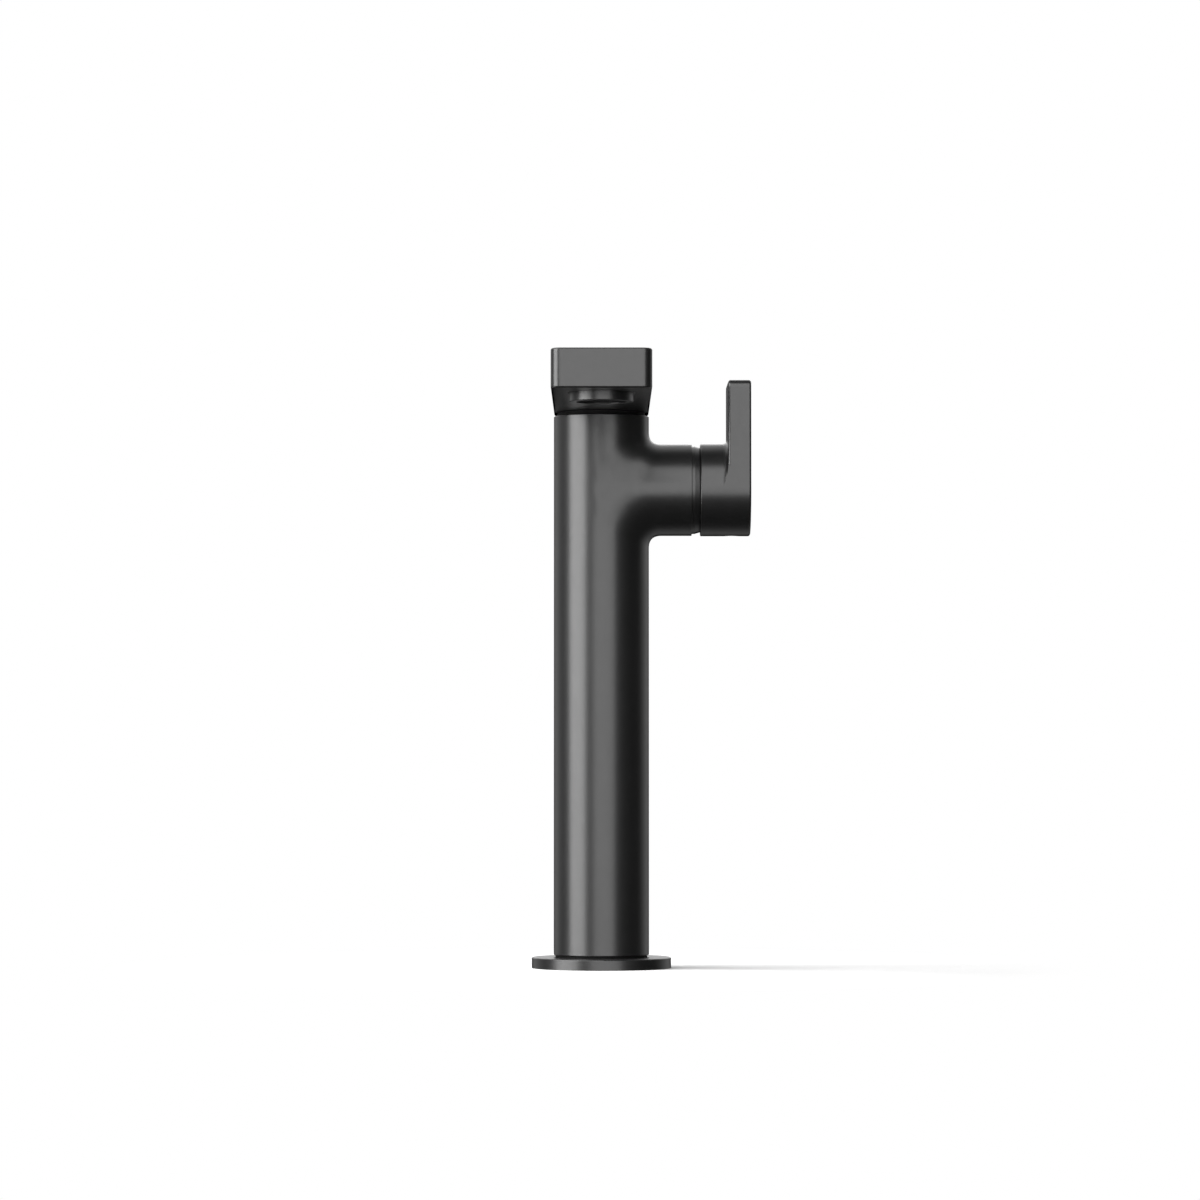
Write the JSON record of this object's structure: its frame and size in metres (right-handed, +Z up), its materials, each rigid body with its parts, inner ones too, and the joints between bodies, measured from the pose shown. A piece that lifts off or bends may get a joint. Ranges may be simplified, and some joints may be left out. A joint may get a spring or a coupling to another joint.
{
  "type": "bathroom mixer faucet",
  "caption": "Tall single-hole basin mixer: round column on a thin flange, flat rectangular swivel spout with aerator, side branch with a tilting and turning lever handle.",
  "frame": {"origin": "middle of the foot on the deck, on the column's axis", "axes": "+Z up along the column, -Y along the spout towards the user, +X along the lever branch"},
  "size_m": [0.0918, 0.1642, 0.2492],
  "materials": {
    "black_coat": "satin",
    "brass": "satin",
    "steel": "satin",
    "rubber": "matte",
    "ceramic": "polished",
    "cartridge_plastic": "satin",
    "black_plastic": "matte"
  },
  "bodies": {
    "column": {"base_flange": "black_coat", "foot_spacer": "black_plastic", "deck_seal": "rubber", "base_insert": "brass", "insert_seal": "rubber", "column_body": "black_coat", "cold_inlet_tube": "brass", "hot_inlet_tube": "brass", "inlet_tube_seals": "rubber", "cartridge_base": "cartridge_plastic", "port_seals": "rubber", "fixed_ceramic_disc": "ceramic", "cartridge_housing": "cartridge_plastic", "cartridge_nut": "brass", "trim_ring": "black_coat", "spout_stop_screw": "steel", "spout_slide_ring": "black_plastic"},
    "spout": {"spout_body": "black_coat", "spout_tail": "brass", "spout_tail_seals": "rubber", "aerator_collar": "black_coat", "aerator_insert": "black_plastic", "aerator_screen": "steel", "aerator_gasket": "rubber"},
    "spindle": {"temperature_spindle": "cartridge_plastic", "spindle_seal": "rubber", "lever_pivot_pin": "steel"},
    "lever": {"lever_stem": "steel", "lever_handle": "black_coat", "handle_set_screw": "steel", "screw_plug": "black_plastic"},
    "disc": {"moving_ceramic_disc": "ceramic", "disc_carrier": "cartridge_plastic"}
  },
  "joints": [
    {"name": "spout_swivel", "type": "hinge", "parent": "column", "child": "spout", "pos_m": [0, 0, 0.2318], "axis": [0, 0, 1], "range_deg": [-30, 30]},
    {"name": "temperature_turn", "type": "hinge", "parent": "column", "child": "spindle", "pos_m": [0.0272, 0, 0.2008], "axis": [1, 0, 0], "range_deg": [-45, 45]},
    {"name": "flow_tilt", "type": "hinge", "parent": "spindle", "child": "lever", "pos_m": [0.0272, 0, 0.2008], "axis": [0, 1, 0], "range_deg": [0, 22]},
    {"name": "disc_slide", "type": "slide", "parent": "spindle", "child": "disc", "axis": [0, 0, 1], "range_m": [0, 0.0031]}
  ],
  "couplings": [
    {"joint": "disc_slide", "follows": "flow_tilt", "m_per_rad": 0.007805}
  ]
}
